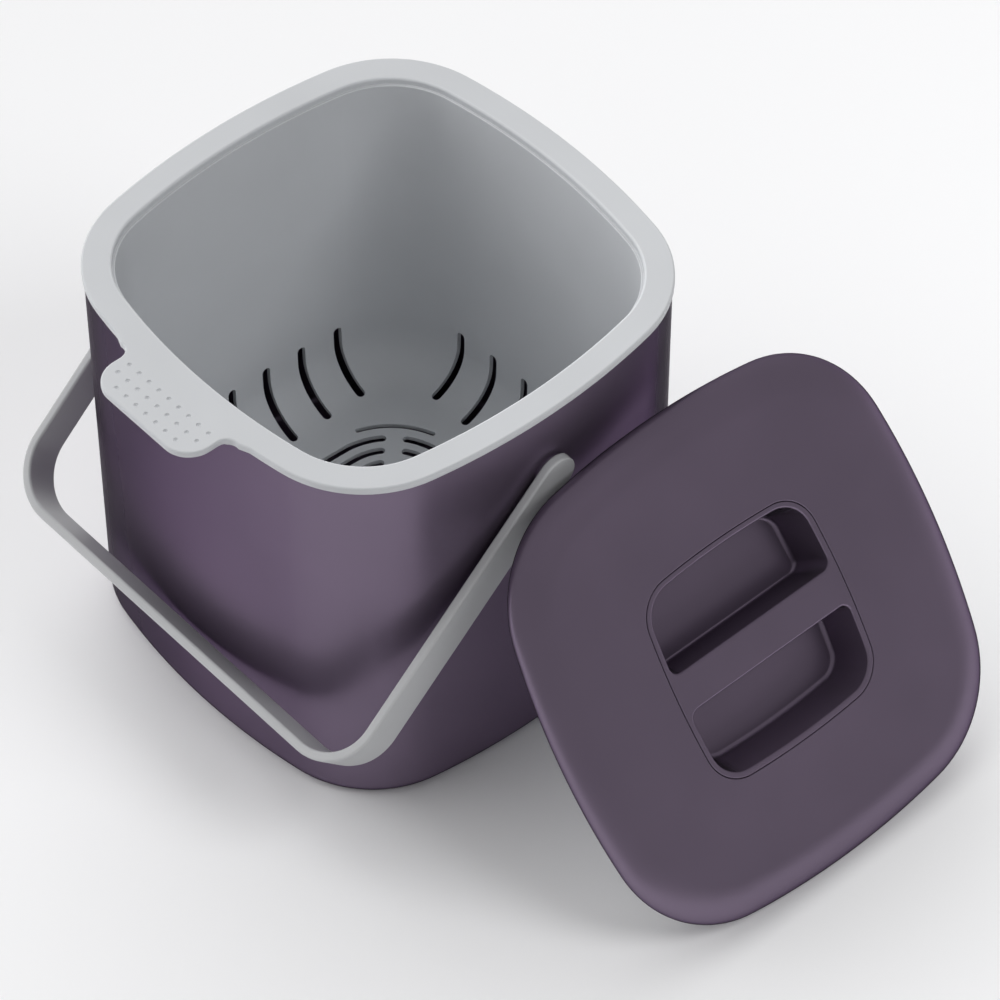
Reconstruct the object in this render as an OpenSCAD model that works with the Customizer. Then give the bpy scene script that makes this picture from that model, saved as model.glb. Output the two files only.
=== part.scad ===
// Kitchen compost caddy: an outer bucket, a lift-out strainer bucket with a finger tab,
// a strap handle on two studs, and a lift-off lid that leans against the right side.
// Front is -Y, where the finger tab and the hanging handle are. The floor is z = 0.

/* [Caddy] */
// Width of the grey rim, side to side
rim_w = 200; // [180:1:240]
// Height from the floor to the top of the rim
caddy_h = 187; // [165:1:230]
// Radius of the rim's vertical corners
corner_r = 50; // [44:1:58]
// Radius of the gently bowed sides
side_r = 300; // [240:5:600]

/* [Outer bucket] */
// How far the outer wall sits inside the rim's edge, at the top
wall_inset = 0.8; // [0.6:0.1:3]
// How much narrower each side is at the floor than at the top
wall_draft = 0.4; // [0:0.1:6]
// Thickness of the outer wall
outer_wall = 2.4; // [1.8:0.1:3]
// Thickness of the outer bucket's base
base_t = 3; // [2:0.1:5]
// Radius where the outer wall turns into the base
base_edge_r = 6; // [4:0.5:9]

/* [Strainer bucket] */
// Width of the flat rim all round the opening
rim_flat = 12; // [10:0.5:16]
// Thickness of the rim
rim_t = 3.5; // [2.5:0.1:5]
// Bevel along the rim's edges
rim_edge = 0.6; // [0.3:0.1:1]
// Step down just inside the opening
ledge_drop = 3; // [2:0.5:5]
// How far that step stands into the opening
ledge_w = 1.1; // [0.5:0.1:2]
// Thickness of the strainer's wall and floor
inner_wall = 2; // [1.5:0.1:2.6]
// Height of the strainer's floor, inside
inner_floor_z = 22; // [16:1:30]
// How much each side of the strainer leans in, from the ledge to the floor
inner_draft = 2.1; // [0.5:0.1:4]
// Radius where the strainer's wall turns into its floor
inner_edge_r = 21.5; // [14:0.5:24]

/* [Drain slots] */
// Slots in each side wall
wall_slots = 6; // [4:2:6]
// Distance between the wall slots
slot_pitch = 18.4; // [14:0.2:19]
// Width of a wall slot
slot_w = 4; // [2.4:0.1:4.4]
// How far the top of a wall slot lies above the floor
slot_rise = 30; // [25:1:70]
// How far the wall slots stop short of the flat of the floor
slot_stop = 3.5; // [2:0.1:6]
// Rings of slots in the floor, each a rounded square
floor_rings = 5; // [2:1:5]
// Width of a ring's slots
ring_slot_w = 3.4; // [2.4:0.1:3.8]
// Half the width of the outermost full ring
ring_half = 50.6; // [46:0.1:52]
// Corner radius of that ring
ring_corner_r = 31; // [29:0.1:38]
// Radius of that ring's gently bowed sides
ring_side_r = 300; // [200:5:600]
// Distance between the rings
ring_pitch = 6.75; // [5:0.05:7]
// Solid bridge left across each ring, on the diagonals
ring_bridge = 6.4; // [4:0.1:12]
// Width of the thin arc outside the rings, in each corner
corner_arc_w = 2.2; // [1.5:0.1:3]
// Half the angle that each corner arc covers
corner_arc_half = 16; // [10:0.5:20]

/* [Finger tab] */
// Width of the tab
tab_w = 58; // [40:1:80]
// How far the tab stands out past the rim
tab_reach = 20; // [15:0.5:26]
// Radius of the tab's outer corners
tab_corner_r = 12; // [6:0.5:14]
// Radius of the hollow corners where the tab joins the rim
tab_root_r = 5; // [2:0.5:8]
// Thickness of the tab
tab_t = 3; // [2:0.1:3.2]
// How far the tab's top lies below the rim's
tab_sink = 0.1; // [0.1:0.1:0.2]

/* [Carry handle] */
// How far the pivots lie below the top of the rim
pivot_drop = 35; // [27:1:47]
// Length from the pivots to the outer face of the crossbar
handle_len = 148; // [144:1:175]
// Width of the strap
strap_w = 17.2; // [12:0.2:20]
// Thickness of the strap
strap_t = 4; // [3.4:0.1:6]
// Outer radius of the handle's two corners
handle_corner_r = 25; // [16:1:40]
// Running gap between the rim and each arm
arm_gap = 0.4; // [0.3:0.1:1.5]
// Gap between the hanging crossbar and the front wall
hang_gap = 0.4; // [0.3:0.1:2]

/* [Pivot studs] */
// Diameter of the stud's shaft
stud_d = 8; // [6:0.5:10]
// Radial gap between the shaft and the wall that it is pressed into
stud_clear = 0.03; // [0.02:0.01:0.05]
// Radial clearance of the arm's socket, which turns on the shaft
socket_clear = 0.08; // [0.05:0.01:0.1]
// Depth of the socket in each arm
socket_depth = 3; // [2:0.1:3]
// Diameter of the stud's head, inside the outer bucket
stud_head_d = 14; // [11:0.5:18]
// Thickness of the stud's head
stud_head_t = 1.6; // [1:0.1:2.2]
// Diameter of the raised boss round each pivot
boss_d = 19; // [15:0.5:22]
// Side clearance at the boss and at the stud's head
side_clear = 0.2; // [0.15:0.05:0.4]

/* [Lid] */
// How far the lid's edge lies inside the rim's
lid_inset = 1.5; // [0:0.5:6]
// Radius of the lid's corners
lid_corner_r = 52; // [46:1:60]
// Radius of the lid's gently bowed sides
lid_side_r = 350; // [280:5:700]
// Thickness of the lid at its middle
lid_t = 13; // [12:0.5:18]
// Height of the lid's widest line above its underside
lid_belly = 5.5; // [4.5:0.1:6]
// How far the rounding of the top edge reaches in
lid_round = 16; // [8:0.5:22]
// How much higher the lid's middle lies than the inner end of that rounding
lid_crown = 0.4; // [0.2:0.1:0.8]
// Width of the flat lip under the lid's rounded edge
lid_lip = 1.5; // [1:0.1:3]
// Thickness of the lid's skin
lid_skin = 2.3; // [1.8:0.1:2.6]
// Lean of the lid from upright
lid_lean = 37.5; // [30:0.5:50]
// How far the lid stands behind the caddy's middle line
lid_back = 43; // [20:1:60]
// Gap between the lid and the handle's arm that it leans on
lean_gap = 0.3; // [0.3:0.1:1]

/* [Lid grip] */
// Width of the square grip insert
grip_w = 88; // [76:1:92]
// Corner radius of the insert
grip_corner_r = 17; // [12:1:20]
// Radius of the insert's gently bowed sides
grip_side_r = 352; // [200:1:600]
// Width of the bar between the two finger wells
grip_bar_w = 16.4; // [12:0.2:24]
// Rim of the insert outside the wells
grip_margin = 4.4; // [4.4:0.1:6]
// Depth of the finger wells
well_depth = 18; // [14:0.5:19]
// Wall and floor thickness of the wells
well_wall = 2; // [1.5:0.1:2.2]
// Thickness of the insert's plate
grip_plate = 2.2; // [2:0.1:2.6]
// Seam gap round the insert
seam_gap = 0.2; // [0.15:0.05:0.4]
// Bevel along the lid's side of the seam
seam_bevel = 0.5; // [0.3:0.1:0.8]

/* [Lid liner and seal] */
// Gap between the plug's wall and the side of the strainer's opening
plug_inset = 8; // [7:0.5:14]
// Depth of the plug below the lid's underside
plug_depth = 12; // [10:0.5:14]
// Thickness of the liner
liner_t = 2; // [1.6:0.1:2.2]
// How far the plug's bottom lip stands out, to hold the seal
plug_lip = 3; // [2:0.1:4]
// Gap between the seal's fins and the ledge when the lid is on
seal_gap = 0.3; // [0.1:0.1:1]
// Thickness of the seal's band behind its fins
seal_band = 2.6; // [2:0.1:3.5]
// Thickness of each fin at its root
fin_t = 2.2; // [1.4:0.1:2.4]

/* [Hidden] */

plum = [0.33, 0.29, 0.35];
pale_grey = [0.80, 0.81, 0.82];
handle_grey = [0.68, 0.69, 0.69];
liner_grey = [0.60, 0.61, 0.62];
seal_white = [0.86, 0.87, 0.87];

fit_gap = 0.1;         // between flat faces that rest on each other
soft_gap = 0.3;        // between the soft seal, or the liner's edge, and what is next to it
stretch_gap = 0.15;    // between the seal and the plug that it is stretched on
cut = 1;               // how far a cutter runs past what it cuts
side_steps = 8;        // facets along a bowed side
corner_steps = 8;      // facets round a corner
turn_steps = 4;        // rings round a rounded edge

rim_half = rim_w / 2;
rim_under_z = caddy_h - rim_t;
opening_half = rim_half - rim_flat;
outer_top_half = rim_half - wall_inset;
outer_top_z = rim_under_z - fit_gap;
arm_in_x = rim_half + arm_gap;
arm_out_x = arm_in_x + strap_t;
pivot_z = caddy_h - pivot_drop;

// A bowed square seen from above. half is half its width, and every ring of the caddy is set in
// from the rim, so that walls keep their thickness round the corners.
function corner_mid(half, r, bow) =
  (half - bow + sqrt(2 * (bow - r) * (bow - r) - (half - bow) * (half - bow))) / 2;
function quarter(half, r, bow) =
  let (c = corner_mid(half, r, bow), turn = atan2(c, c - half + bow))
  concat(
    [for (i = [0 : side_steps - 1]) let (a = turn * (2 * i / side_steps - 1))
      [half - bow + bow * cos(a), bow * sin(a)]],
    [for (i = [0 : corner_steps - 1]) let (a = turn + (90 - 2 * turn) * i / corner_steps)
      [c + r * cos(a), c + r * sin(a)]]);
function bowed_square(half, r, bow) =
  [for (k = [0 : 3]) for (p = quarter(half, r, bow))
    [p.x * cos(90 * k) - p.y * sin(90 * k), p.x * sin(90 * k) + p.y * cos(90 * k)]];
function rim_offset(half) =
  bowed_square(half, corner_r - rim_half + half, side_r - rim_half + half);
function at_height(outline, z) = [for (p = outline) [p.x, p.y, z]];

// Skin over a stack of rings, from the outside's foot up and down the inside: closed by a flat
// face at each end, or joined end to end
module skin(rings, closed_loop = false) {
  n = len(rings[0]);
  last = len(rings) - 1;
  spans = closed_loop ? last : last - 1;
  sides = [for (i = [0 : spans]) for (j = [0 : n - 1])
    let (k = (j + 1) % n, m = (i + 1) % (last + 1))
    each [[i * n + j, m * n + k, i * n + k], [i * n + j, m * n + j, m * n + k]]];
  caps = closed_loop ? [] :
    [[for (j = [0 : n - 1]) j], [for (j = [n - 1 : -1 : 0]) last * n + j]];
  polyhedron([for (ring = rings) each ring], concat(sides, caps), convexity = 6);
}

// ---- Outer bucket ----

function outer_half(z) = outer_top_half - wall_draft * (1 - z / outer_top_z);

module outer_bucket() {
  foot_half = outer_half(base_edge_r);
  boss_foot_x = outer_half(pivot_z) - outer_wall / 2;
  outside = [for (i = [0 : turn_steps]) let (a = 90 * i / turn_steps)
    at_height(rim_offset(foot_half - base_edge_r * (1 - sin(a))), base_edge_r * (1 - cos(a)))];
  inner_r = base_edge_r - outer_wall;
  inside = [for (i = [turn_steps : -1 : 0]) let (a = 90 * i / turn_steps)
    at_height(rim_offset(foot_half - outer_wall - inner_r * (1 - sin(a))),
      base_t + inner_r * (1 - cos(a)))];
  color(plum) difference() {
    union() {
      skin(concat(outside,
        [at_height(rim_offset(outer_top_half), outer_top_z),
          at_height(rim_offset(outer_top_half - outer_wall), outer_top_z)],
        inside));
      for (side = [0, 180]) rotate([0, 0, side]) translate([boss_foot_x, 0, pivot_z])
        rotate([0, 90, 0]) cylinder(d = boss_d, h = arm_in_x - side_clear - boss_foot_x, $fn = 64);
    }
    for (side = [0, 180]) rotate([0, 0, side])
      translate([outer_half(pivot_z) - outer_wall - cut, 0, pivot_z])
      rotate([0, 90, 0])
      cylinder(r = stud_d / 2 + stud_clear, h = arm_in_x - outer_half(pivot_z) + outer_wall + 2 * cut,
        $fn = 64);
  }
}

// ---- Strainer bucket ----

ledge_half = opening_half - ledge_w;
ledge_z = caddy_h - ledge_drop;
inner_foot_half = ledge_half - inner_draft;
slot_end = inner_foot_half - inner_edge_r + slot_stop + slot_w / 2;

module tab_outline() {
  // the tab's half outline, mirrored: a hollow root corner, a straight side and a round outer corner
  y_rim = -rim_half;
  y_end = -rim_half - tab_reach;
  root_x = tab_w / 2 + tab_root_r;
  half_side = concat(
    [[root_x, y_rim + rim_flat / 2], [root_x, y_rim]],
    [for (a = [90 : 15 : 180]) [root_x + tab_root_r * cos(a), y_rim - tab_root_r + tab_root_r * sin(a)]],
    [for (a = [0 : -10 : -90]) [tab_w / 2 - tab_corner_r + tab_corner_r * cos(a),
      y_end + tab_corner_r + tab_corner_r * sin(a)]]);
  n = len(half_side);
  polygon(concat(half_side, [for (i = [n - 1 : -1 : 0]) [-half_side[i].x, half_side[i].y]]));
}

module wall_slot_cutters() {
  x_out = ledge_half + inner_wall + cut;
  z_low = inner_floor_z - inner_wall - cut;
  z_round = inner_floor_z + slot_rise - slot_w / 2;
  for (side = [0 : 90 : 270]) rotate([0, 0, side])
    for (i = [0 : wall_slots - 1]) translate([0, (i - (wall_slots - 1) / 2) * slot_pitch, 0]) {
      translate([slot_end, -slot_w / 2, z_low]) cube([x_out - slot_end, slot_w, z_round - z_low]);
      translate([slot_end, 0, z_round]) rotate([0, 90, 0])
        cylinder(d = slot_w, h = x_out - slot_end, $fn = 24);
      translate([slot_end, 0, z_low]) cylinder(d = slot_w, h = z_round - z_low, $fn = 24);
    }
}

module slot_ring(inset, w) {
  difference() {
    polygon(bowed_square(ring_half - inset + w / 2, ring_corner_r - inset + w / 2,
      ring_side_r - inset + w / 2));
    polygon(bowed_square(ring_half - inset - w / 2, ring_corner_r - inset - w / 2,
      ring_side_r - inset - w / 2));
  }
}

module floor_slot_outlines() {
  difference() {
    for (i = [0 : floor_rings - 1]) slot_ring(i * ring_pitch, ring_slot_w);
    for (a = [45, 135]) rotate(a) square([2 * rim_w, ring_bridge], center = true);
  }
  intersection() {
    slot_ring(-ring_pitch, corner_arc_w);
    for (a = [45 : 90 : 315]) rotate(a)
      polygon([[0, 0], rim_w * [cos(corner_arc_half), sin(corner_arc_half)],
        rim_w * [cos(corner_arc_half), -sin(corner_arc_half)]]);
  }
}

module inner_bucket() {
  outside = [for (i = [0 : turn_steps]) let (a = 90 * i / turn_steps, r = inner_edge_r + inner_wall)
    at_height(rim_offset(inner_foot_half + inner_wall - r * (1 - sin(a))),
      inner_floor_z - inner_wall + r * (1 - cos(a)))];
  inside = [for (i = [turn_steps : -1 : 0]) let (a = 90 * i / turn_steps)
    at_height(rim_offset(inner_foot_half - inner_edge_r * (1 - sin(a))),
      inner_floor_z + inner_edge_r * (1 - cos(a)))];
  rim = [at_height(rim_offset(ledge_half + inner_wall), rim_under_z),
    at_height(rim_offset(rim_half - rim_edge), rim_under_z),
    at_height(rim_offset(rim_half), rim_under_z + rim_edge),
    at_height(rim_offset(rim_half), caddy_h - rim_edge),
    at_height(rim_offset(rim_half - rim_edge), caddy_h),
    at_height(rim_offset(opening_half + rim_edge), caddy_h),
    at_height(rim_offset(opening_half), caddy_h - rim_edge),
    at_height(rim_offset(opening_half), ledge_z),
    at_height(rim_offset(ledge_half), ledge_z)];
  color(pale_grey) difference() {
    union() {
      skin(concat(outside, rim, inside));
      translate([0, 0, caddy_h - tab_sink - tab_t]) linear_extrude(tab_t) tab_outline();
    }
    wall_slot_cutters();
    translate([0, 0, inner_floor_z - inner_wall - cut])
      linear_extrude(inner_wall + 2 * cut) floor_slot_outlines();
  }
}

// ---- Carry handle and its studs ----

// The angle below level at which the crossbar's lower inner edge rests against the front wall,
// whose slope is wall_slope
bar_in = handle_len - strap_t;
bar_edge = sqrt(bar_in * bar_in + strap_w * strap_w / 4);
wall_slope = atan(wall_draft / outer_top_z);
edge_drop = wall_slope + acos((outer_half(pivot_z) + hang_gap) * cos(wall_slope) / bar_edge);
handle_drop = edge_drop - atan(strap_w / 2 / bar_in);

module bail_outline() {
  r_in = handle_corner_r - strap_t;
  half_out = [for (a = [0 : 5 : 90]) [arm_out_x - handle_corner_r + handle_corner_r * cos(a),
    handle_len - handle_corner_r + handle_corner_r * sin(a)]];
  half_in = [for (a = [90 : -5 : 0]) [arm_in_x - r_in + r_in * cos(a),
    handle_len - handle_corner_r + r_in * sin(a)]];
  right = concat([[arm_out_x, 0]], half_out);
  right_in = concat(half_in, [[arm_in_x, 0]]);
  n = len(right);
  m = len(right_in);
  polygon(concat(right, [for (i = [n - 1 : -1 : 0]) [-right[i].x, right[i].y]],
    [for (i = [m - 1 : -1 : 0]) [-right_in[i].x, right_in[i].y]], right_in));
}

module carry_handle() {
  color(handle_grey) translate([0, 0, pivot_z]) rotate([180 + handle_drop, 0, 0]) difference() {
    union() {
      linear_extrude(strap_w, center = true) bail_outline();
      for (side = [0, 180]) rotate([0, 0, side]) translate([arm_in_x, 0, 0]) rotate([0, 90, 0])
        cylinder(d = strap_w, h = strap_t, $fn = 64);
    }
    for (side = [0, 180]) rotate([0, 0, side]) translate([arm_in_x - cut, 0, 0]) rotate([0, 90, 0])
      cylinder(r = stud_d / 2 + socket_clear, h = socket_depth + cut, $fn = 64);
  }
}

module pivot_stud(side) {
  head_x = outer_half(pivot_z) - outer_wall - side_clear;
  color(handle_grey) rotate([0, 0, side]) translate([0, 0, pivot_z]) rotate([0, 90, 0]) union() {
    translate([0, 0, head_x - stud_head_t]) cylinder(d = stud_head_d, h = stud_head_t, $fn = 64);
    translate([0, 0, head_x - stud_head_t / 2])
      cylinder(d = stud_d, h = arm_in_x + socket_depth - fit_gap - head_x + stud_head_t / 2, $fn = 64);
  }
}

module pivot_stud_right() { pivot_stud(0); }
module pivot_stud_left() { pivot_stud(180); }

// ---- Lid ----
// Drawn lying flat with its underside at z = 0, then stood on its edge and leaned on the arm

lid_half = rim_half - lid_inset;
plug_half = opening_half - plug_inset;
edge_in = lid_half - lid_belly;         // centre line of the round under the lid's edge
edge_reach = edge_in * sin(lid_lean) + lid_belly;
plug_reach = (plug_half + plug_lip) * sin(lid_lean) + (plug_depth + lid_belly) * cos(lid_lean);
lid_x = arm_out_x + lean_gap + max(edge_reach, plug_reach);
lid_z = edge_in * cos(lid_lean) + lid_belly;
grip_half = grip_w / 2;
skin_in = lid_belly + lid_lip;          // the lid's open underside starts this far in
tub_in = grip_margin - well_wall;       // the outside of the wells' walls

module leaned() {
  translate([lid_x, lid_back, lid_z]) rotate([0, 90 - lid_lean, 0]) translate([0, 0, -lid_belly])
    children();
}
function lid_ring(inset, z) =
  at_height(bowed_square(lid_half - inset, lid_corner_r - inset, lid_side_r - inset), z);
function grip_ring(inset) =
  bowed_square(grip_half - inset, grip_corner_r - inset, grip_side_r - inset);

module lid_shell() {
  under = [for (i = [0 : turn_steps]) let (a = 90 * i / turn_steps)
    lid_ring(lid_belly * (1 - sin(a)), lid_belly * (1 - cos(a)))];
  over = [for (i = [1 : 2 * turn_steps]) let (a = 90 * i / (2 * turn_steps))
    lid_ring(lid_round * (1 - cos(a)), lid_belly + (lid_t - lid_crown - lid_belly) * sin(a))];
  seat_z = lid_t - grip_plate - fit_gap;
  seat_in = tub_in - seam_gap;
  collar_z = seat_z - lid_skin;
  collar_out = -seam_gap - lid_skin;
  inner_top_z = lid_t - lid_crown - lid_skin;
  hole = [at_height(grip_ring(-seam_gap - seam_bevel), lid_t),
    at_height(grip_ring(-seam_gap), lid_t - seam_bevel),
    at_height(grip_ring(-seam_gap), seat_z), at_height(grip_ring(seat_in), seat_z),
    at_height(grip_ring(seat_in), collar_z), at_height(grip_ring(collar_out), collar_z),
    at_height(grip_ring(collar_out), inner_top_z)];
  inside = concat([for (i = [turn_steps : -1 : 0]) let (a = 90 * i / turn_steps)
    lid_ring(skin_in + (lid_round + lid_skin - skin_in) * (1 - cos(a)),
      lid_belly + (inner_top_z - lid_belly) * sin(a))],
    [lid_ring(skin_in, 0)]);
  color(plum) leaned() skin(concat(under, over, hole, inside), closed_loop = true);
}

module grip_wells(inset, low_z, high_z, bar_w) {
  translate([0, 0, low_z]) linear_extrude(high_z - low_z) difference() {
    polygon(grip_ring(inset));
    square([bar_w, 2 * grip_w], center = true);
  }
}

module lid_grip() {
  well_z = lid_t - well_depth;
  hollow_w = grip_bar_w - 2 * well_wall;
  hollow_half = grip_half - 2 * grip_margin - well_wall;
  color(plum) leaned() difference() {
    union() {
      translate([0, 0, lid_t - grip_plate]) linear_extrude(grip_plate) polygon(grip_ring(0));
      translate([0, 0, well_z - well_wall]) linear_extrude(well_depth + well_wall - grip_plate / 2)
        polygon(grip_ring(tub_in));
    }
    grip_wells(grip_margin, well_z, lid_t + cut, grip_bar_w);
    translate([-hollow_w / 2, -hollow_half, well_z - well_wall - cut])
      cube([hollow_w, 2 * hollow_half, well_depth + cut]);
  }
}

// The plug and the seal follow the strainer's opening, not the lid's edge
function plug_ring(half, z) = at_height(rim_offset(half), z);

module lid_liner() {
  plate_in = skin_in + soft_gap;
  color(liner_grey) leaned() skin([
    plug_ring(plug_half + plug_lip, -plug_depth),
    plug_ring(plug_half + plug_lip, -plug_depth + liner_t / 2),
    plug_ring(plug_half, -plug_depth + liner_t / 2),
    plug_ring(plug_half, fit_gap),
    lid_ring(plate_in, fit_gap),
    lid_ring(plate_in, fit_gap + liner_t),
    plug_ring(plug_half - liner_t, fit_gap + liner_t),
    plug_ring(plug_half - liner_t, -plug_depth + liner_t)]);
}

module lid_seal() {
  in_half = plug_half + stretch_gap;
  band_half = in_half + seal_band;
  fin_half = ledge_half - seal_gap;
  top_z = fit_gap - soft_gap;
  low_z = -plug_depth + liner_t / 2 + soft_gap;
  rise = (top_z - low_z) / 4;
  fins = [for (z = [low_z + rise, top_z - rise])
    each [plug_ring(band_half, z - fin_t / 2), plug_ring(fin_half, z), plug_ring(band_half, z + fin_t / 2)]];
  color(seal_white) leaned() skin(concat(
    [plug_ring(in_half, low_z), plug_ring(band_half, low_z)], fins,
    [plug_ring(band_half, top_z), plug_ring(in_half, top_z)]), closed_loop = true);
}

outer_bucket();
inner_bucket();
carry_handle();
pivot_stud_right();
pivot_stud_left();
lid_shell();
lid_grip();
lid_liner();
lid_seal();
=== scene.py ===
import math

import bmesh
import bpy
from mathutils import Matrix, Vector


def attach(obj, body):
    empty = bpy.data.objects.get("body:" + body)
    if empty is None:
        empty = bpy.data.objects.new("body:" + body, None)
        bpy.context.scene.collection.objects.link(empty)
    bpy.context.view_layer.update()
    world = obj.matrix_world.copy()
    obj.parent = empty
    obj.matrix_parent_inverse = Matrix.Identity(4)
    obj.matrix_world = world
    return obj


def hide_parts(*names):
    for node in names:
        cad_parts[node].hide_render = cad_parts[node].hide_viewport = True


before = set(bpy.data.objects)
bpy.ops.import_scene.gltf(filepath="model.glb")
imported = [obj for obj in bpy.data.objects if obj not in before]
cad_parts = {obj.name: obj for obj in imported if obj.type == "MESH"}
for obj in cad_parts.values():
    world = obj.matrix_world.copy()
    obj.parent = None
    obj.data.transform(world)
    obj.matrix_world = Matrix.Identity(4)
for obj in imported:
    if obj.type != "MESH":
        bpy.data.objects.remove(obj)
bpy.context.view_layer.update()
print("frame loaded:", sorted(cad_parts))

# The pieces' sizes are in millimetres, and mm() turns them to metres.
# meshing says how finely outlines are drawn, and how near two points are before they are one.
meshing = {"sideSteps": 20, "cornerSteps": 20, "turnedSteps": 64, "weld": 0.002}


def mm(value):
    return value / 1000.0


def linearFromHex(text):
    parts = [int(text[i:i + 2], 16) / 255.0 for i in (1, 3, 5)]
    return [p / 12.92 if p <= 0.04045 else ((p + 0.055) / 1.055) ** 2.4 for p in parts] + [1.0]


def addNode(tree, kind, inputs=None, **settings):
    node = tree.nodes.new(kind)
    for key, value in settings.items():
        setattr(node, key, value)
    for key, value in (inputs or {}).items():
        if isinstance(value, bpy.types.NodeSocket):
            tree.links.new(value, node.inputs[key])
        else:
            node.inputs[key].default_value = value
    return node


def addObject(name, data):
    added = bpy.data.objects.new(name, data)
    bpy.context.scene.collection.objects.link(added)
    return added


def arc(start, end, steps):
    return [math.radians(start + (end - start) * i / steps) for i in range(steps + 1)]


def quarterRound(r, steps, start=0, end=90):
    # how far a rounded edge falls short, on its first face and on its second
    return [(r * (1 - math.sin(a)), r * (1 - math.cos(a))) for a in arc(start, end, steps)]


# The caddy, its lid and the grip insert are all bowed squares when seen from above. half is half
# the width, r the corners' radius and bow the sides' radius.
def cornerMid(half, r, bow):
    return (half - bow + math.sqrt(2 * (bow - r) ** 2 - (half - bow) ** 2)) / 2


def bowedSquare(half, r, bow, frontAngles=None):
    c = cornerMid(half, r, bow)
    turn = math.atan2(c, c - half + bow)
    sideSteps, cornerSteps = meshing["sideSteps"], meshing["cornerSteps"]
    points = []
    for k in range(4):
        spin = math.radians(90 * k)
        if k == 3 and frontAngles is not None:
            angles = [turn * t for t in frontAngles]
        else:
            angles = [turn * (2 * i / sideSteps - 1) for i in range(sideSteps)]
        quarter = [(half - bow + bow * math.cos(a), bow * math.sin(a)) for a in angles]
        for i in range(cornerSteps):
            a = turn + (math.pi / 2 - 2 * turn) * i / cornerSteps
            quarter.append((c + r * math.cos(a), c + r * math.sin(a)))
        points += [(x * math.cos(spin) - y * math.sin(spin), x * math.sin(spin) + y * math.cos(spin))
                   for x, y in quarter]
    return points


def atHeight(outline, z):
    return [(x, y, z) for x, y in outline]


def stackRings(rings, closedLoop=False):
    count, last = len(rings[0]), len(rings) - 1
    verts = [p for ring in rings for p in ring]
    faces = []
    for i in range(last + 1 if closedLoop else last):
        m = (i + 1) % (last + 1)
        for j in range(count):
            k = (j + 1) % count
            faces.append((i * count + j, i * count + k, m * count + k, m * count + j))
    if not closedLoop:
        faces.append(tuple(range(count - 1, -1, -1)))
        faces.append(tuple(last * count + j for j in range(count)))
    return verts, faces


def makeMesh(name, verts, faces, place=None):
    mesh = bpy.data.meshes.new(name)
    mesh.from_pydata([tuple(mm(c) for c in v) for v in verts], [], faces)
    bm = bmesh.new()
    bm.from_mesh(mesh)
    bmesh.ops.remove_doubles(bm, verts=bm.verts, dist=mm(meshing["weld"]))
    bmesh.ops.recalc_face_normals(bm, faces=bm.faces)
    bm.to_mesh(mesh)
    bm.free()
    if place is not None:
        mesh.transform(place)
    return addObject(name, mesh)


def cutAway(piece, cutter):
    cut = piece.modifiers.new("cut", "BOOLEAN")
    cut.operation, cut.solver, cut.object = "DIFFERENCE", "EXACT", cutter
    graph = bpy.context.evaluated_depsgraph_get()
    result = bpy.data.meshes.new_from_object(piece.evaluated_get(graph))
    piece.modifiers.clear()
    piece.data = result
    bpy.data.objects.remove(cutter)


def finishPiece(piece, body, material, nodes=(), sharp=32):
    piece.data.shade_smooth()
    piece.data.set_sharp_from_angle(angle=math.radians(sharp))
    even = piece.modifiers.new("even shading", "WEIGHTED_NORMAL")
    even.weight, even.keep_sharp = 80, True
    piece.data.materials.clear()
    piece.data.materials.append(material)
    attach(piece, body)
    if nodes:
        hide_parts(*nodes)


# The camera looks at target, in metres, from the angles and distance that were fitted to the view
camera = {"target": (0.06439, 0.00574, 0.100), "azimuth": 48.23, "elevation": 49.03,
          "distance": 2.04105, "lens": 187.2, "sensor": 36}
az, el = math.radians(camera["azimuth"]), math.radians(camera["elevation"])
towardsCamera = Vector((math.sin(az) * math.cos(el), -math.cos(az) * math.cos(el), math.sin(el)))
cameraData = bpy.data.cameras.new("camera")
cameraData.lens = camera["lens"]
cameraData.sensor_width = camera["sensor"]
cameraObject = addObject("camera", cameraData)
cameraObject.location = Vector(camera["target"]) + towardsCamera * camera["distance"]
cameraObject.rotation_euler = (-towardsCamera).to_track_quat("-Z", "Y").to_euler()
bpy.context.scene.camera = cameraObject
print("camera placed")


def newMaterial(name):
    material = bpy.data.materials.new(name)
    material.use_nodes = True
    tree = material.node_tree
    tree.nodes.clear()
    out = addNode(tree, "ShaderNodeOutputMaterial")
    shader = addNode(tree, "ShaderNodeBsdfPrincipled")
    tree.links.new(shader.outputs["BSDF"], out.inputs["Surface"])
    return material, tree, shader


# Injection-moulded polypropylene: a broad soft tint drift and a slightly uneven gloss where the
# melt flowed, a painted edge shade that darkens the colour where a face turns away from the
# camera, and a spark-eroded grain that breaks up the reflections. The real grain is about 0.2 mm,
# too fine to show, so it is drawn several times coarser.
moulding = {"driftDetail": 2.0, "driftFrom": 0.3, "driftTo": 0.7, "paintedEdgeTo": 0.95,
            "grainDetail": 3.0, "grainRoughness": 0.6, "insideFrom": -0.03, "insideTo": -0.01}


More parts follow.
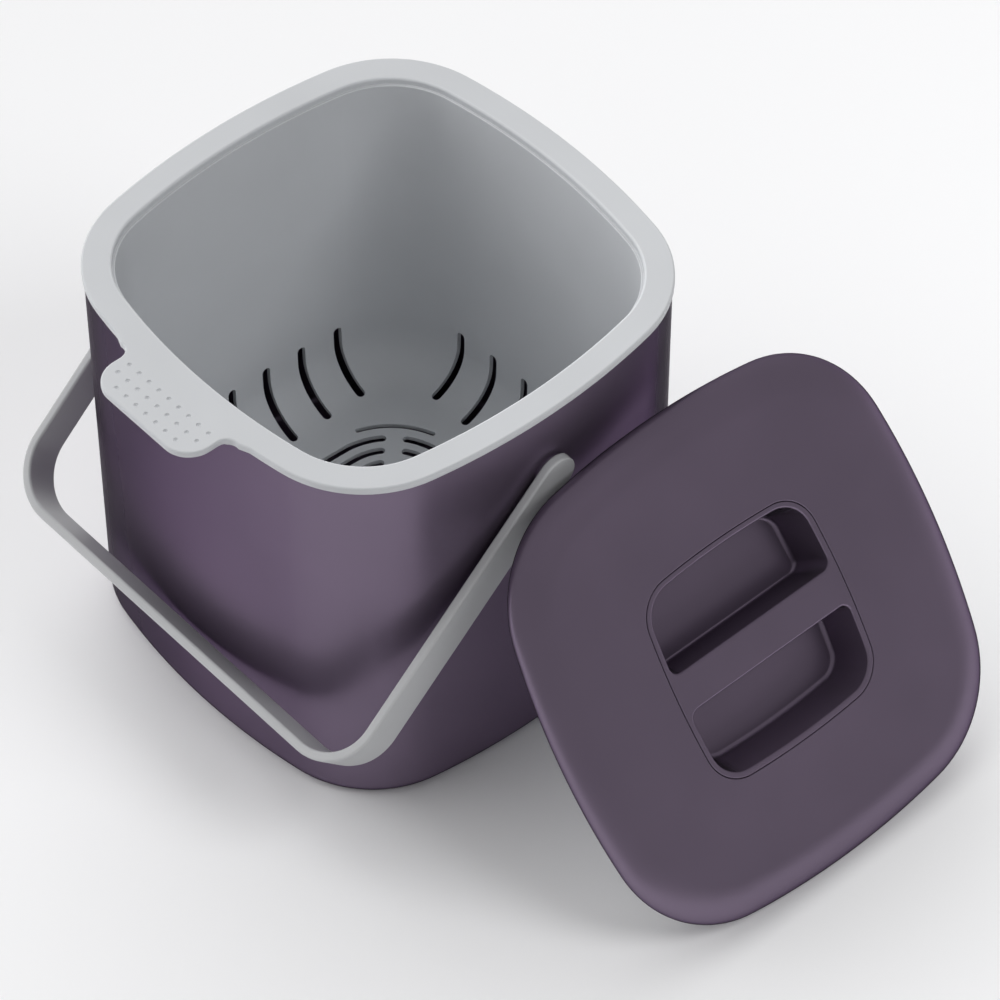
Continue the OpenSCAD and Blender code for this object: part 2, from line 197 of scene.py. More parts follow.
def mouldedPlastic(name, values):
    material, tree, shader = newMaterial(name)
    m = moulding
    coord = addNode(tree, "ShaderNodeTexCoord")
    drift = addNode(tree, "ShaderNodeTexNoise", {
        "Vector": coord.outputs["Object"], "Scale": 1 / mm(values["driftMm"]),
        "Detail": m["driftDetail"]})
    tint = addNode(tree, "ShaderNodeValToRGB", {"Fac": drift.outputs["Fac"]})
    first, second = tint.color_ramp.elements[0], tint.color_ramp.elements[1]
    first.position, second.position = m["driftFrom"], m["driftTo"]
    first.color, second.color = linearFromHex(values["dark"]), linearFromHex(values["light"])
    # painted edge shade: the colour is darkened where a face turns away from the camera
    facing = addNode(tree, "ShaderNodeLayerWeight", {"Blend": 0.5})
    edge = addNode(tree, "ShaderNodeMapRange", {
        "Value": facing.outputs["Facing"], "From Min": values["paintedEdgeFrom"], "From Max": m["paintedEdgeTo"],
        "To Min": 1.0, "To Max": values["paintedEdgeShade"]})
    paintedEdgeShaded = addNode(tree, "ShaderNodeVectorMath", {
        0: tint.outputs["Color"], 1: edge.outputs["Result"]}, operation="MULTIPLY")
    colour = paintedEdgeShaded.outputs["Vector"]
    if "paintedInsideLight" in values:
        # faces that look towards the middle of the opening get a lighter colour: painted light for
        # the light that bounces round inside
        fromMouth = addNode(tree, "ShaderNodeVectorMath", {
            0: coord.outputs["Object"], 1: (0, 0, mm(values["mouthMm"]))}, operation="SUBTRACT")
        inwards = addNode(tree, "ShaderNodeVectorMath", {
            0: fromMouth.outputs["Vector"], 1: coord.outputs["Normal"]}, operation="DOT_PRODUCT")
        inside = addNode(tree, "ShaderNodeMapRange", {
            "Value": inwards.outputs["Value"], "From Min": m["insideFrom"],
            "From Max": m["insideTo"], "To Min": values["paintedInsideLight"], "To Max": 1.0})
        lifted = addNode(tree, "ShaderNodeVectorMath", {
            0: colour, 1: inside.outputs["Result"]}, operation="MULTIPLY")
        colour = lifted.outputs["Vector"]
    tree.links.new(colour, shader.inputs["Base Color"])
    gloss = addNode(tree, "ShaderNodeMapRange", {
        "Value": drift.outputs["Fac"], "From Min": m["driftFrom"], "From Max": m["driftTo"],
        "To Min": values["roughness"] - values["roughSpread"],
        "To Max": values["roughness"] + values["roughSpread"]})
    tree.links.new(gloss.outputs["Result"], shader.inputs["Roughness"])
    grain = addNode(tree, "ShaderNodeTexNoise", {
        "Vector": coord.outputs["Object"], "Scale": 1 / mm(values["grainMm"]),
        "Detail": m["grainDetail"], "Roughness": m["grainRoughness"]})
    bump = addNode(tree, "ShaderNodeBump", {
        "Height": grain.outputs["Fac"], "Strength": values["grainStrength"],
        "Distance": mm(values["grainDepthMm"])})
    tree.links.new(bump.outputs["Normal"], shader.inputs["Normal"])
    for socket, value in values["shader"].items():
        shader.inputs[socket].default_value = value
    return material


# Polypropylene with a plum pearl pigment: the mica flakes mirror softly like a dark metal, so
# walls that see little light go nearly black, and a painted edge shade darkens its colour where a
# face turns away
plumPlastic = mouldedPlastic("plumPearlPolypropylene", {
    "dark": "#7a6e80", "light": "#7f7285", "driftMm": 60, "roughness": 0.33, "roughSpread": 0.02,
    "paintedEdgeShade": 0.4, "paintedEdgeFrom": 0.6, "grainMm": 1.6, "grainStrength": 0.12, "grainDepthMm": 0.05,
    "shader": {"Metallic": 0.8, "Specular Tint": (0.08, 0.04, 0.1, 1), "Specular IOR Level": 0.1}})
# The same plastic in pale grey: the strainer bucket, matt outside and on its rim so that scratches
# hide, with painted light that makes its inside lighter
greyPlastic = mouldedPlastic("paleGreyPolypropylene", {
    "dark": "#c0c2c5", "light": "#c4c6c9", "driftMm": 50, "roughness": 0.42, "roughSpread": 0.03,
    "paintedEdgeShade": 0.9, "paintedEdgeFrom": 0.55, "paintedInsideLight": 1.14, "mouthMm": 190,
    "grainMm": 1.4, "grainStrength": 0.15, "grainDepthMm": 0.05, "shader": {"IOR": 1.49}})
# Glass-filled polypropylene, stiffer and greyer, with a slightly stronger grain
handlePlastic = mouldedPlastic("handleGreyPolypropylene", {
    "dark": "#b5b6b8", "light": "#babbbd", "driftMm": 40, "roughness": 0.4, "roughSpread": 0.03,
    "paintedEdgeShade": 0.8, "paintedEdgeFrom": 0.55, "grainMm": 1.3, "grainStrength": 0.18,
    "grainDepthMm": 0.05, "shader": {"IOR": 1.49}})
# Silicone: soft, matt and a little waxy
sealSilicone = mouldedPlastic("whiteSilicone", {
    "dark": "#c2c3c2", "light": "#c8c9c8", "driftMm": 30, "roughness": 0.55, "roughSpread": 0.04,
    "paintedEdgeShade": 0.9, "paintedEdgeFrom": 0.55, "grainMm": 1.2, "grainStrength": 0.1, "grainDepthMm": 0.04,
    "shader": {"IOR": 1.43}})
print("materials made")

# The caddy's rim gives the outline that its other rings are offset from
caddy = {"rimHalf": 100.0, "height": 187.0, "cornerR": 50.0, "sideR": 300.0}
bucket = {"topHalf": 99.2, "draft": 0.4, "wall": 2.4, "base": 3.0, "edgeR": 6.0, "topZ": 183.4,
          "lipR": 0.5, "levels": (40, 80, 120, 150)}
pivot = {"z": 152.0, "holeR": 4.03, "cutFrom": 90.0, "cutTo": 104.0}
boss = {"r": 7.5, "rootX": 98.0, "x": 100.2, "edgeR": 0.4}


def rimOffset(half, frontAngles=None):
    less = caddy["rimHalf"] - half
    return bowedSquare(half, caddy["cornerR"] - less, caddy["sideR"] - less, frontAngles)


def turned(profile, side, closed=False):
    # turns a profile of (distance along x, radius) about the pivots' axis
    steps = meshing["turnedSteps"]
    verts, faces = [], []
    for x, r in profile:
        for i in range(steps):
            a = 2 * math.pi * i / steps
            verts.append((side * x, r * math.cos(a), pivot["z"] + r * math.sin(a)))
    count = len(profile)
    for i in range(count if closed else count - 1):
        m = (i + 1) % count
        for j in range(steps):
            k = (j + 1) % steps
            faces.append((i * steps + j, i * steps + k, m * steps + k, m * steps + j))
    return verts, faces


def bucketHalf(z):
    return bucket["topHalf"] - bucket["draft"] * (1 - z / bucket["topZ"])


def makeBucket():
    v = bucket
    foot, inTop = bucketHalf(v["edgeR"]), v["topHalf"] - v["wall"]
    rings = [atHeight(rimOffset(foot - across), rise)
             for across, rise in quarterRound(v["edgeR"], 10)]
    rings += [atHeight(rimOffset(bucketHalf(z)), z) for z in v["levels"]]
    rings += [atHeight(rimOffset(v["topHalf"] - across), v["topZ"] - down)
              for down, across in quarterRound(v["lipR"], 4)]
    rings += [atHeight(rimOffset(inTop + across), v["topZ"] - down)
              for across, down in quarterRound(v["lipR"], 4)]
    rings += [atHeight(rimOffset(foot - v["wall"] - across), v["base"] + rise)
              for across, rise in quarterRound(v["edgeR"] - v["wall"], 8, 90, 0)]
    piece = makeMesh("outerBucket", *stackRings(rings))
    near, far, r = pivot["cutFrom"], pivot["cutTo"], pivot["holeR"]
    for side in (1, -1):
        cutAway(piece, makeMesh("hole", *turned([(near, 0), (near, r), (far, r), (far, 0)], side)))
    finishPiece(piece, "bucket", plumPlastic, ["outer_bucket"])


def makeBosses():
    # a raised ring round each pivot hole
    e, r, x, hole = boss["edgeR"], boss["r"], boss["x"], pivot["holeR"]
    profile = [(boss["rootX"], hole), (boss["rootX"], r)]
    profile += [(x - e + e * math.sin(a), r - e + e * math.cos(a)) for a in arc(0, 90, 5)]
    profile.append((x, hole))
    for side, word in ((1, "Right"), (-1, "Left")):
        piece = makeMesh("pivotBoss" + word, *turned(profile, side, closed=True))
        finishPiece(piece, "bucket", plumPlastic)


makeBucket()
makeBosses()
print("outer bucket made")

# The strainer's walls get a flatter bow from the ledge down to bowEndZ
strainer = {"opening": 88.0, "ledgeHalf": 86.9, "ledgeZ": 184.0, "wall": 2.0, "floorZ": 22.0,
            "footHalf": 84.8, "edgeR": 21.5, "rimUnder": 183.5, "rimR": 0.9, "insideR": 1.2,
            "bedR": 0.3, "ledgeR": 0.4, "topBow": 287.0, "footBow": 440.0, "bowEndZ": 50,
            "cornerIn": 50, "levels": (48, 54, 75, 110, 150)}
tab = {"half": 29.0, "reach": 20.0, "cornerR": 12.0, "rootR": 5.0, "rootIn": 0.9, "under": 183.9,
       "underFromY": -101.2, "sideSteps": (5.0, 6.5), "endSteps": (12, 7, 2.4), "landing": 1.2}
dimple = {"r": 1.15, "deep": 0.6, "pitch": 5.85, "segments": 20, "bands": 12,
          "rows": ((-104.0, 9), (-109.7, 9), (-115.2, 7))}
slots = {"perWall": 6, "pitch": 18.4, "width": 4.0, "topZ": 52.0, "tip": 66.8, "outX": 94.0,
         "rings": 5, "ringHalf": 50.6, "ringR": 31.0, "ringBow": 300.0, "ringPitch": 6.75,
         "ringW": 3.4, "ringSteps": 60, "bridge": 6.4, "arcW": 2.2, "arcReach": 17.5, "past": 2}


def tabPath():
    # the finger tab's outline, from its left root round to its right root
    t = tab
    root, yRim = t["half"] + t["rootR"], -caddy["rimHalf"]
    yRoot, yEnd = yRim + t["rootIn"] - t["rootR"], yRim - t["reach"]
    right = [(root + t["rootR"] * math.cos(a), yRoot + t["rootR"] * math.sin(a))
             for a in arc(80, 180, 10)]
    right += [(t["half"], yRim - y) for y in t["sideSteps"]]
    right += [(t["half"] - t["cornerR"] + t["cornerR"] * math.cos(a),
               yEnd + t["cornerR"] + t["cornerR"] * math.sin(a)) for a in arc(0, -90, 14)]
    right += [(x, yEnd) for x in t["endSteps"]]
    return [(-x, y) for x, y in right] + right[::-1]


def frontSamples(path):
    # where the rings are cut along the front side, as shares of the side's half angle
    c = cornerMid(caddy["rimHalf"], caddy["cornerR"], caddy["sideR"])
    turn = math.atan2(c, c - caddy["rimHalf"] + caddy["sideR"])
    tabEdge = tab["half"] + tab["rootR"] + tab["landing"]
    edge = math.asin(max(-1, min(1, tabEdge / caddy["sideR"]))) / turn
    outer = [-1 + (1 - edge) * i / 5 for i in range(5)]
    inner = [-edge * (1 - 2 * i / (len(path) - 1)) for i in range(len(path))]
    return outer + inner + [edge + (1 - edge) * i / 5 for i in range(1, 5)], len(outer)


def offsetInwards(outline, distance):
    count, moved = len(outline), []
    for i, (x, y) in enumerate(outline):
        ax, ay = outline[i - 1]
        bx, by = outline[(i + 1) % count]
        length = math.hypot(bx - ax, by - ay)
        nx, ny = (by - ay) / length, -(bx - ax) / length
        moved.append((x - nx * distance, y - ny * distance))
    return moved


def slotBand(line, width, low, high):
    # a bent slot with round ends along a middle line, as a closed solid
    left, right = [], []
    last, endSteps = len(line) - 1, 10
    for i, (x, y) in enumerate(line):
        ax, ay = line[max(i - 1, 0)]
        bx, by = line[min(i + 1, last)]
        length = math.hypot(bx - ax, by - ay)
        nx, ny = -(by - ay) / length * width / 2, (bx - ax) / length * width / 2
        left.append((x + nx, y + ny))
        right.append((x - nx, y - ny))
    outline = list(right)
    for centre, edge in ((line[-1], right[-1]), (line[0], left[0])):
        start = math.atan2(edge[1] - centre[1], edge[0] - centre[0])
        angles = [start + math.pi * i / endSteps for i in range(1, endSteps)]
        outline += [(centre[0] + width / 2 * math.cos(a), centre[1] + width / 2 * math.sin(a))
                    for a in angles]
        if centre == line[-1]:
            outline += left[::-1]
    return stackRings([atHeight(outline, low), atHeight(outline, high)])


def ringLine(inset, keep):
    # one side of a rounded-square ring, as a middle line: the points that keep() lets through
    s, steps = slots, slots["ringSteps"]
    half, r, bow = s["ringHalf"] - inset, s["ringR"] - inset, s["ringBow"] - inset
    c = cornerMid(half, r, bow)
    turn = math.degrees(math.atan2(c, c - half + bow))
    points = [(c + r * math.cos(a), -c + r * math.sin(a)) for a in arc(-90 + turn, -turn, steps)]
    points += [(half - bow + bow * math.cos(a), bow * math.sin(a))
               for a in arc(-turn, turn, steps)[1:-1]]
    points += [(c + r * math.cos(a), c + r * math.sin(a)) for a in arc(turn, 90 - turn, steps)]
    return [p for p in points if keep(*p)]


def joined(parts):
    verts, faces = [], []
    for partVerts, partFaces in parts:
        base = len(verts)
        verts += partVerts
        faces += [tuple(base + i for i in face) for face in partFaces]
    return verts, faces


def turnedAbout(part, degrees):
    a = math.radians(degrees)
    verts, faces = part
    return [(x * math.cos(a) - y * math.sin(a), x * math.sin(a) + y * math.cos(a), z)
            for x, y, z in verts], faces


def strainerRings():
    # from the foot up the outside, over the rim and down the inside to the floor
    v, path = strainer, tabPath()
    samples, first = frontSamples(path)

    def offsetRing(half, z):
        return atHeight(rimOffset(half, samples), z)

    def wallHalf(z):
        foot = v["floorZ"] + v["edgeR"]
        return v["footHalf"] + (z - foot) / (v["ledgeZ"] - foot) * (v["ledgeHalf"] - v["footHalf"])

    def wallRing(half, z):
        share = min(1, max(0, (v["ledgeZ"] - z) / (v["ledgeZ"] - v["bowEndZ"])))
        bow = v["topBow"] + (v["footBow"] - v["topBow"]) * share
        return atHeight(bowedSquare(half, half - v["cornerIn"], bow - v["ledgeHalf"] + half,
                                    samples), z)

    # the tab's path goes in on the front side, the fourth quarter of the outline
    withTab = rimOffset(caddy["rimHalf"], samples)
    frontStart = 3 * (meshing["sideSteps"] + meshing["cornerSteps"]) + first
    withTab[frontStart:frontStart + len(path)] = path
    top, e = caddy["height"], v["rimR"]
    rings = [wallRing(v["footHalf"] + v["wall"] - across, v["floorZ"] - v["wall"] + rise)
             for across, rise in quarterRound(v["edgeR"] + v["wall"], 14)]
    rings += [wallRing(v["wall"] + wallHalf(z), z) for z in v["levels"]]
    rings.append(wallRing(v["ledgeHalf"] + v["wall"], v["rimUnder"]))
    for across, rise in quarterRound(e, 5):
        rings.append([(x, y, (tab["under"] if y < tab["underFromY"] else v["rimUnder"]) + rise)
                      for x, y in offsetInwards(withTab, across)])
    rings += [atHeight(offsetInwards(withTab, across), top - down)
              for across, down in quarterRound(e, 5, 90, 0)]
    rings += [offsetRing(v["opening"] + across, top - down)
              for across, down in quarterRound(v["insideR"], 5)]
    rings += [offsetRing(v["opening"] - v["bedR"] * (1 - math.cos(a)),
                         v["ledgeZ"] + v["bedR"] - v["bedR"] * math.sin(a)) for a in arc(0, 90, 3)]
    rings += [offsetRing(v["ledgeHalf"] + across, v["ledgeZ"] - down)
              for across, down in quarterRound(v["ledgeR"], 4)]
    rings += [wallRing(wallHalf(z), z) for z in v["levels"][::-1]]
    rings += [wallRing(v["footHalf"] - across, v["floorZ"] + rise)
              for across, rise in quarterRound(v["edgeR"], 16, 90, 0)]
    return rings


def slotCutters():
    # the floor's rings and the wall slots' straight parts, and the wall slots' round tops
    s = slots
    low = strainer["floorZ"] - strainer["wall"] - s["past"]
    high = strainer["floorZ"] + s["past"]
    edge = (s["bridge"] + s["ringW"]) / 2 * math.sqrt(2)
    reach = (s["arcReach"] - s["arcW"] / 2) * math.sqrt(2)
    bands = [(ringLine(i * s["ringPitch"], lambda x, y: x - abs(y) >= edge), s["ringW"])
             for i in range(s["rings"])]
    bands.append((ringLine(-s["ringPitch"], lambda x, y: y > 0 and abs(x - y) <= reach), s["arcW"]))
    straight = [turnedAbout(slotBand(line, width, low, high), 90 * k)
                for line, width in bands for k in range(4)]
    tops = []
    w, outX = s["width"] / 2, s["outX"]
    roundZ, end = s["topZ"] - w, s["tip"] + w
    for k in range(4):
        for n in range(s["perWall"]):
            y = (n - (s["perWall"] - 1) / 2) * s["pitch"]
            plan = [(outX, y - w), (outX, y + w)]
            plan += [(end + w * math.cos(a), y + w * math.sin(a)) for a in arc(90, 270, 12)]
            straight.append(turnedAbout(
                stackRings([atHeight(plan, low), atHeight(plan, roundZ)]), 90 * k))
            disc = [(y + w * math.cos(a), roundZ + w * math.sin(a)) for a in arc(0, 360, 24)[:-1]]
            bar = stackRings([[(end, p, z) for p, z in disc], [(outX, p, z) for p, z in disc]])
            tops.append(turnedAbout(bar, 90 * k))
    return joined(straight), joined(tops)


def dimpleCutter():
    d = dimple
    z = caddy["height"] + (d["r"] - d["deep"])
    bm = bmesh.new()
    for y, count in d["rows"]:
        for n in range(count):
            x = (n - (count - 1) / 2) * d["pitch"]
            bmesh.ops.create_uvsphere(bm, u_segments=d["segments"], v_segments=d["bands"],
                                      radius=mm(d["r"]),
                                      matrix=Matrix.Translation((mm(x), mm(y), mm(z))))
    mesh = bpy.data.meshes.new("dimples")
    bm.to_mesh(mesh)
    bm.free()
    return addObject("dimples", mesh)


def makeStrainer():
    piece = makeMesh("strainerBucket", *stackRings(strainerRings()))
    straight, tops = slotCutters()
    cutAway(piece, makeMesh("slotPrisms", *straight))
    cutAway(piece, makeMesh("slotRounds", *tops))
    cutAway(piece, dimpleCutter())
    finishPiece(piece, "strainer", greyPlastic, ["inner_bucket"], sharp=38)


makeStrainer()
print("strainer bucket made")

# The strap hangs at drop degrees from straight down; straightY and frontX are where its straight
# runs are cut
handle = {"length": 148.0, "strapW": 17.2, "strapT": 4.0, "cornerR": 25.0, "inX": 100.4,
          "drop": 43.06, "edgeR": 1.1, "straightY": (30, 60, 90, 112), "frontX": (50, 20, -20, -50),
          "tipSteps": 16, "tipLeast": 0.3}
stud = {"r": 4.0, "headR": 7.0, "headT": 1.6, "headX": 96.47, "headEdge": 0.5, "endX": 103.3,
        "endEdge": 0.4}


def strapSection(width, thickness, r, steps=5):
    # a rounded rectangle: first along the width, then through the thickness
    least = 0.01
    r = min(r, width / 2 - least, thickness / 2 - least)
    return [(sx * (width / 2 - r) + r * math.cos(a), sy * (thickness / 2 - r) + r * math.sin(a))
            for sx, sy, start in ((1, 1, 0), (-1, 1, 90), (-1, -1, 180), (1, -1, 270))
            for a in arc(start, start + 90, steps)]


def makeHandle():
    v = handle
    midX, midR = v["inX"] + v["strapT"] / 2, v["cornerR"] - v["strapT"] / 2
    midY, tipR = v["length"] - v["strapT"] / 2, v["strapW"] / 2
    # the strap's middle line in the handle's own plane: x across, y away from the pivots, then
    # the way its outer face looks, and the width where a round tip narrows it
    right = []
    for i in range(v["tipSteps"] + 1):
        a = math.pi / 2 * (1 - i / v["tipSteps"])
        right.append((midX, -tipR * math.sin(a), (1, 0), tipR * math.cos(a) * 2))
    right += [(midX, y, (1, 0), v["strapW"]) for y in v["straightY"]]
    right += [(midX - midR + midR * math.cos(a), midY - midR + midR * math.sin(a),
               (math.cos(a), math.sin(a)), v["strapW"]) for a in arc(0, 90, 20)]
    front = [(x, midY, (0, 1), v["strapW"]) for x in v["frontX"]]
    left = [(-x, y, (-nx, ny), width) for x, y, (nx, ny), width in right[::-1]]
    rings = []
    for x, y, (nx, ny), width in right + front + left:
        section = strapSection(max(width, v["tipLeast"]), v["strapT"], v["edgeR"])
        rings.append([(x + nx * t, y + ny * t, w) for w, t in section])
    place = (Matrix.Translation((0, 0, mm(pivot["z"])))
             @ Matrix.Rotation(math.radians(180 + v["drop"]), 4, "X"))
    piece = makeMesh("carryHandle", *stackRings(rings), place=place)
    finishPiece(piece, "handle", handlePlastic, ["carry_handle"])


def makeStuds():
    s, e = stud, stud["headEdge"]
    x0 = s["headX"] - s["headT"]
    profile = [(x0, 0)]
    profile += [(x0 + e - e * math.cos(a), s["headR"] - e + e * math.sin(a)) for a in arc(0, 90, 4)]
    profile += [(s["headX"], s["headR"]), (s["headX"], s["r"]), (s["endX"] - s["endEdge"], s["r"]),
                (s["endX"], s["r"] - s["endEdge"]), (s["endX"], 0)]
    for side, word in ((1, "Right"), (-1, "Left")):
        piece = makeMesh("pivotStud" + word, *turned(profile, side))
        finishPiece(piece, "bucket", handlePlastic, ["pivot_stud_" + word.lower()])


makeHandle()
makeStuds()
print("handle and studs made")

# The lid is drawn flat, with its lower edge at height 0, and lidPlace leans it at the caddy's side
lid = {"half": 98.5, "cornerR": 52.0, "sideR": 350.0, "top": 13.0, "belly": 5.5, "round": 16.0,
       "skin": 2.3, "crownSkin": 0.4, "fit": 0.1, "ledge": 2.2, "pocket": 3, "shoulderIn": 11.5,
       "shoulderZ": 9.1, "wallIn": 7.0, "lean": 37.5, "x": 169.11, "y": 43.0, "z": 79.28}
grip = {"half": 44.8, "cornerR": 16.5, "sideR": 352.0, "barHalf": 8.2, "margin": 2.6, "deep": 18.0,
        "wall": 2.0, "tubR": 1.5, "plate": 2.2, "seam": 0.2, "seamR": 0.5, "wellEdge": 1.1,
        "wellDraft": 3.6, "wellFloorR": 2.2, "barFootR": 1.0, "barCornerR": 4.2,
        "cornerLeast": 0.4, "coreHalf": (6.2, 34), "coreTop": 3, "past": 1}
plug = {"half": 80.0, "deep": 12.0, "wall": 2.0, "lip": 3.0, "lipT": 1, "lipUnderR": 0.5,
        "lipTopR": 0.4, "flangeIn": 7.3, "flangeFrom": 0.1, "flangeTo": 2.1}
seal = {"fit": 0.15, "band": 2.6, "fin": 86.6, "from": 1.2, "to": -0.2, "finsAt": (1.1, 2.9),
        "finRoot": 1.1, "finTip": 0.5, "finTipT": 0.35}

lidPlace = (Matrix.Translation((mm(lid["x"]), mm(lid["y"]), mm(lid["z"])))
            @ Matrix.Rotation(math.radians(90 - lid["lean"]), 4, "Y")
            @ Matrix.Translation((0, 0, mm(-lid["belly"]))))


def lidRing(inset, z):
    v = lid
    return atHeight(bowedSquare(v["half"] - inset, v["cornerR"] - inset, v["sideR"] - inset), z)


def gripRing(inset, z):
    v = grip
    return atHeight(bowedSquare(v["half"] - inset, v["cornerR"] - inset, v["sideR"] - inset), z)


def plugRing(half, z):
    return atHeight(rimOffset(half), z)


def makeLidShell():
    v, g = lid, grip
    belly, top = v["belly"], v["top"]
    rings = [lidRing(across, rise) for across, rise in quarterRound(belly, 12)]
    rings += [lidRing(v["round"] * (1 - math.cos(a)), belly + (top - belly) * math.sin(a))
              for a in arc(0, 90, 24)[1:]]
    rings += [gripRing(-g["seam"] - across, top - down)
              for across, down in quarterRound(g["seamR"], 5)]
    seat, under = top - g["plate"] - v["fit"], top - v["skin"] - g["plate"] - v["fit"]
    ceiling = top - v["skin"] - v["crownSkin"]
    rings += [gripRing(-g["seam"], seat), gripRing(v["ledge"], seat), gripRing(v["ledge"], under),
              gripRing(-v["pocket"], under), gripRing(-v["pocket"], ceiling)]
    rings += [lidRing(v["round"] + v["skin"], ceiling), lidRing(v["shoulderIn"], v["shoulderZ"]),
              lidRing(v["wallIn"], belly), lidRing(v["wallIn"], 0)]
    piece = makeMesh("lidShell", *stackRings(rings, closedLoop=True), place=lidPlace)
    finishPiece(piece, "lid", plumPlastic, ["lid_shell"])


def wellOutline(inset, barInset, z, side):
    # one finger well seen from above: straight beside the bar, bowed on its other sides
    g = grip
    m = g["margin"] + inset
    half, r, bow = g["half"] - m, g["cornerR"] - m, g["sideR"] - m
    xBar, rc = g["barHalf"] + barInset, max(g["barCornerR"] - barInset, g["cornerLeast"])
    drop = bow - half
    yc = -drop + math.sqrt((bow - rc) ** 2 - (xBar + rc) ** 2)
    touch = math.atan2(yc + drop, xBar + rc)
    c = cornerMid(half, r, bow)
    turn = math.atan2(c, c - half + bow)
    endAngle = math.pi / 2 - turn
    upper = [(xBar, yc * i / 6) for i in range(6)]
    upper += [(xBar + rc + rc * math.cos(a), yc + rc * math.sin(a))
              for a in [math.pi + (touch - math.pi) * i / 10 for i in range(11)]]
    upper += [(bow * math.cos(a), -drop + bow * math.sin(a))
              for a in [touch + (endAngle - touch) * i / 8 for i in range(1, 8)]]
    upper += [(c + r * math.cos(a), c + r * math.sin(a))
              for a in [endAngle + (turn - endAngle) * i / 14 for i in range(15)]]
    upper += [(half - bow + bow * math.cos(a), bow * math.sin(a))
              for a in [turn * (1 - i / 8) for i in range(1, 8)]]
    outline = upper + [(half, 0)] + [(x, -y) for x, y in upper[:0:-1]]
    return [(side * x, y, z) for x, y in outline]


def wellCutter(side):
    # a floor with a rounded foot, walls that lean out, and a rounded upper edge
    g, top = grip, lid["top"]
    floor, w, foot = top - g["deep"], g["wellEdge"], g["barFootR"]
    rings = []
    for across, rise in quarterRound(g["wellFloorR"], 12):
        short = max(0, foot - rise)
        barInset = foot - math.sqrt(foot ** 2 - short ** 2)
        rings.append(wellOutline(g["wellDraft"] + across, barInset, floor + rise, side))
    for a in arc(0, 90, 8):
        out = -w * (1 - math.cos(a))
        rings.append(wellOutline(out, out, top - w + w * math.sin(a), side))
    rings.append(wellOutline(-w, -w, top + g["past"], side))
    return makeMesh("well", *stackRings(rings), place=lidPlace)


def makeGrip():
    g, top = grip, lid["top"]
    low, tubIn = top - g["deep"] - g["wall"], g["margin"] - g["wall"]
    rings = [gripRing(tubIn + across, low + rise) for across, rise in quarterRound(g["tubR"], 5)]
    rings += [gripRing(tubIn, top - g["plate"]), gripRing(0, top - g["plate"])]
    rings += [gripRing(across, top - down) for down, across in quarterRound(g["seamR"], 5)]
    piece = makeMesh("lidGrip", *stackRings(rings), place=lidPlace)
    for side in (1, -1):
        cutAway(piece, wellCutter(side))
    # the bar is hollow from below
    x, y = g["coreHalf"]
    core = [(-x, -y), (x, -y), (x, y), (-x, y)]
    coreRings = [atHeight(core, low - g["past"]), atHeight(core, top - g["coreTop"])]
    cutAway(piece, makeMesh("core", *stackRings(coreRings), place=lidPlace))
    finishPiece(piece, "lid", plumPlastic, ["lid_grip"])


def makeLiner():
    p, low = plug, -plug["deep"]
    lipHalf, inHalf = p["half"] + p["lip"], p["half"] - p["wall"]
    rings = [plugRing(lipHalf - across, low + rise)
             for across, rise in quarterRound(p["lipUnderR"], 4)]
    rings += [plugRing(lipHalf - across, low + p["lipT"] - down)
              for down, across in quarterRound(p["lipTopR"], 3)]
    rings += [plugRing(p["half"], low + p["lipT"]), plugRing(p["half"], p["flangeFrom"]),
              lidRing(p["flangeIn"], p["flangeFrom"]), lidRing(p["flangeIn"], p["flangeTo"]),
              plugRing(inHalf, p["flangeTo"]), plugRing(inHalf, low + p["wall"])]
    piece = makeMesh("lidLiner", *stackRings(rings), place=lidPlace)
    finishPiece(piece, "lid", greyPlastic, ["lid_liner"])


def makeSeal():
    s = seal
    inner, band = plug["half"] + s["fit"], plug["half"] + s["fit"] + s["band"]
    bottom, top = -plug["deep"] + s["from"], s["to"]
    step = (top - bottom) / 4
    rings = [plugRing(inner, bottom), plugRing(band, bottom)]
    for share in s["finsAt"]:
        # a thin fin that tapers to a round edge
        z, nearTip = bottom + step * share, s["fin"] - s["finTip"]
        rings += [plugRing(band, z - s["finRoot"]), plugRing(nearTip, z - s["finTipT"]),
                  plugRing(s["fin"], z), plugRing(nearTip, z + s["finTipT"]),
                  plugRing(band, z + s["finRoot"])]
    rings += [plugRing(band, top), plugRing(inner, top)]
    piece = makeMesh("lidSeal", *stackRings(rings, closedLoop=True), place=lidPlace)
    finishPiece(piece, "lid", sealSilicone, ["lid_seal"], sharp=60)


makeLidShell()
makeGrip()
makeLiner()
makeSeal()
print("lid made")

# Matt white paint on a studio floor: flat, bright and without a shine. half is in metres.
studioFloor = {"half": 6, "colour": "#f3f3f4", "roughness": 0.9, "specular": 0.1}
h = studioFloor["half"]
floorMesh = bpy.data.meshes.new("floor")
floorMesh.from_pydata([(-h, -h, 0), (h, -h, 0), (h, h, 0), (-h, h, 0)], [], [(0, 1, 2, 3)])
floor = addObject("floor", floorMesh)
whitePaint, paintTree, paintShader = newMaterial("mattWhitePaint")
paintShader.inputs["Base Color"].default_value = linearFromHex(studioFloor["colour"])
paintShader.inputs["Roughness"].default_value = studioFloor["roughness"]
paintShader.inputs["Specular IOR Level"].default_value = studioFloor["specular"]
floorMesh.materials.append(whitePaint)

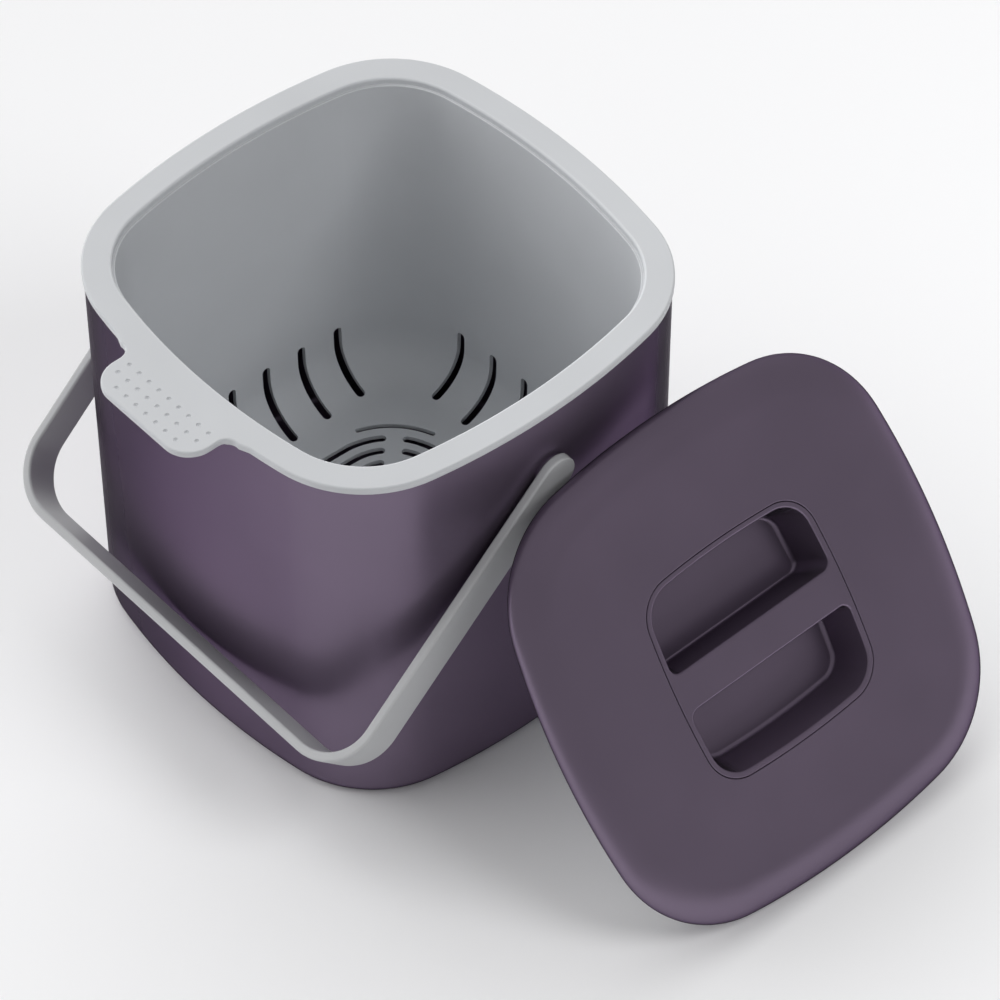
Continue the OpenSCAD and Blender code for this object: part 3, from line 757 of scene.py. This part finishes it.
# Four broad soft panels stand round the table, each with the way it lies and its strength. The
# camera sees plain white behind the floor, and shiny faces see an even room at the level mirrored.
studio = {"panels": (((-1, 0.15, 0.2), 2.3), ((-0.6, -0.75, 0.2), 0.48), ((1, -0.1, 0.3), 0.15),
                     ((0.6, -0.75, 0.2), 0.2)), "mirrored": 0.33, "backdrop": 1.0,
          "keyPower": 8.0, "keySize": 0.8, "keyDistance": 1.6, "keyDirection": (0.75, 0.35, 0.95),
          "keyAim": (0.06, 0.0, 0.08)}
world = bpy.data.worlds.new("studio")
bpy.context.scene.world = world
world.use_nodes = True
tree = world.node_tree
tree.nodes.clear()
white = (1, 1, 1, 1)
look = addNode(tree, "ShaderNodeTexCoord")
total = 0.0
for towards, power in studio["panels"]:
    across = addNode(tree, "ShaderNodeVectorMath", {
        0: look.outputs["Generated"], 1: Vector(towards).normalized()}, operation="DOT_PRODUCT")
    panel = addNode(tree, "ShaderNodeMapRange", {
        "Value": across.outputs["Value"], "From Min": 0.0, "From Max": 1.0, "To Min": 0.0,
        "To Max": power}, interpolation_type="SMOOTHSTEP")
    total = addNode(tree, "ShaderNodeMath", {0: total, 1: panel.outputs["Result"]}).outputs[0]
ray = addNode(tree, "ShaderNodeLightPath")
tent = addNode(tree, "ShaderNodeBackground", {"Color": white, "Strength": total})
room = addNode(tree, "ShaderNodeBackground", {"Color": white, "Strength": studio["mirrored"]})
backdrop = addNode(tree, "ShaderNodeBackground", {"Color": white, "Strength": studio["backdrop"]})
shine = addNode(tree, "ShaderNodeMixShader", {
    0: ray.outputs["Is Glossy Ray"], 1: tent.outputs[0], 2: room.outputs[0]})
mixed = addNode(tree, "ShaderNodeMixShader", {
    0: ray.outputs["Is Camera Ray"], 1: shine.outputs[0], 2: backdrop.outputs[0]})
addNode(tree, "ShaderNodeOutputWorld", {"Surface": mixed.outputs[0]})

# One round lamp, behind and to the right, gives the soft shadow
keyData = bpy.data.lights.new("key", "AREA")
keyData.shape, keyData.size, keyData.energy = "DISK", studio["keySize"], studio["keyPower"]
key = addObject("key", keyData)
direction = Vector(studio["keyDirection"]).normalized()
key.location = Vector(studio["keyAim"]) + direction * studio["keyDistance"]
key.rotation_euler = (-direction).to_track_quat("-Z", "Y").to_euler()
key.visible_glossy = False

bpy.context.scene.view_settings.view_transform = "Standard"
print("floor and light made")
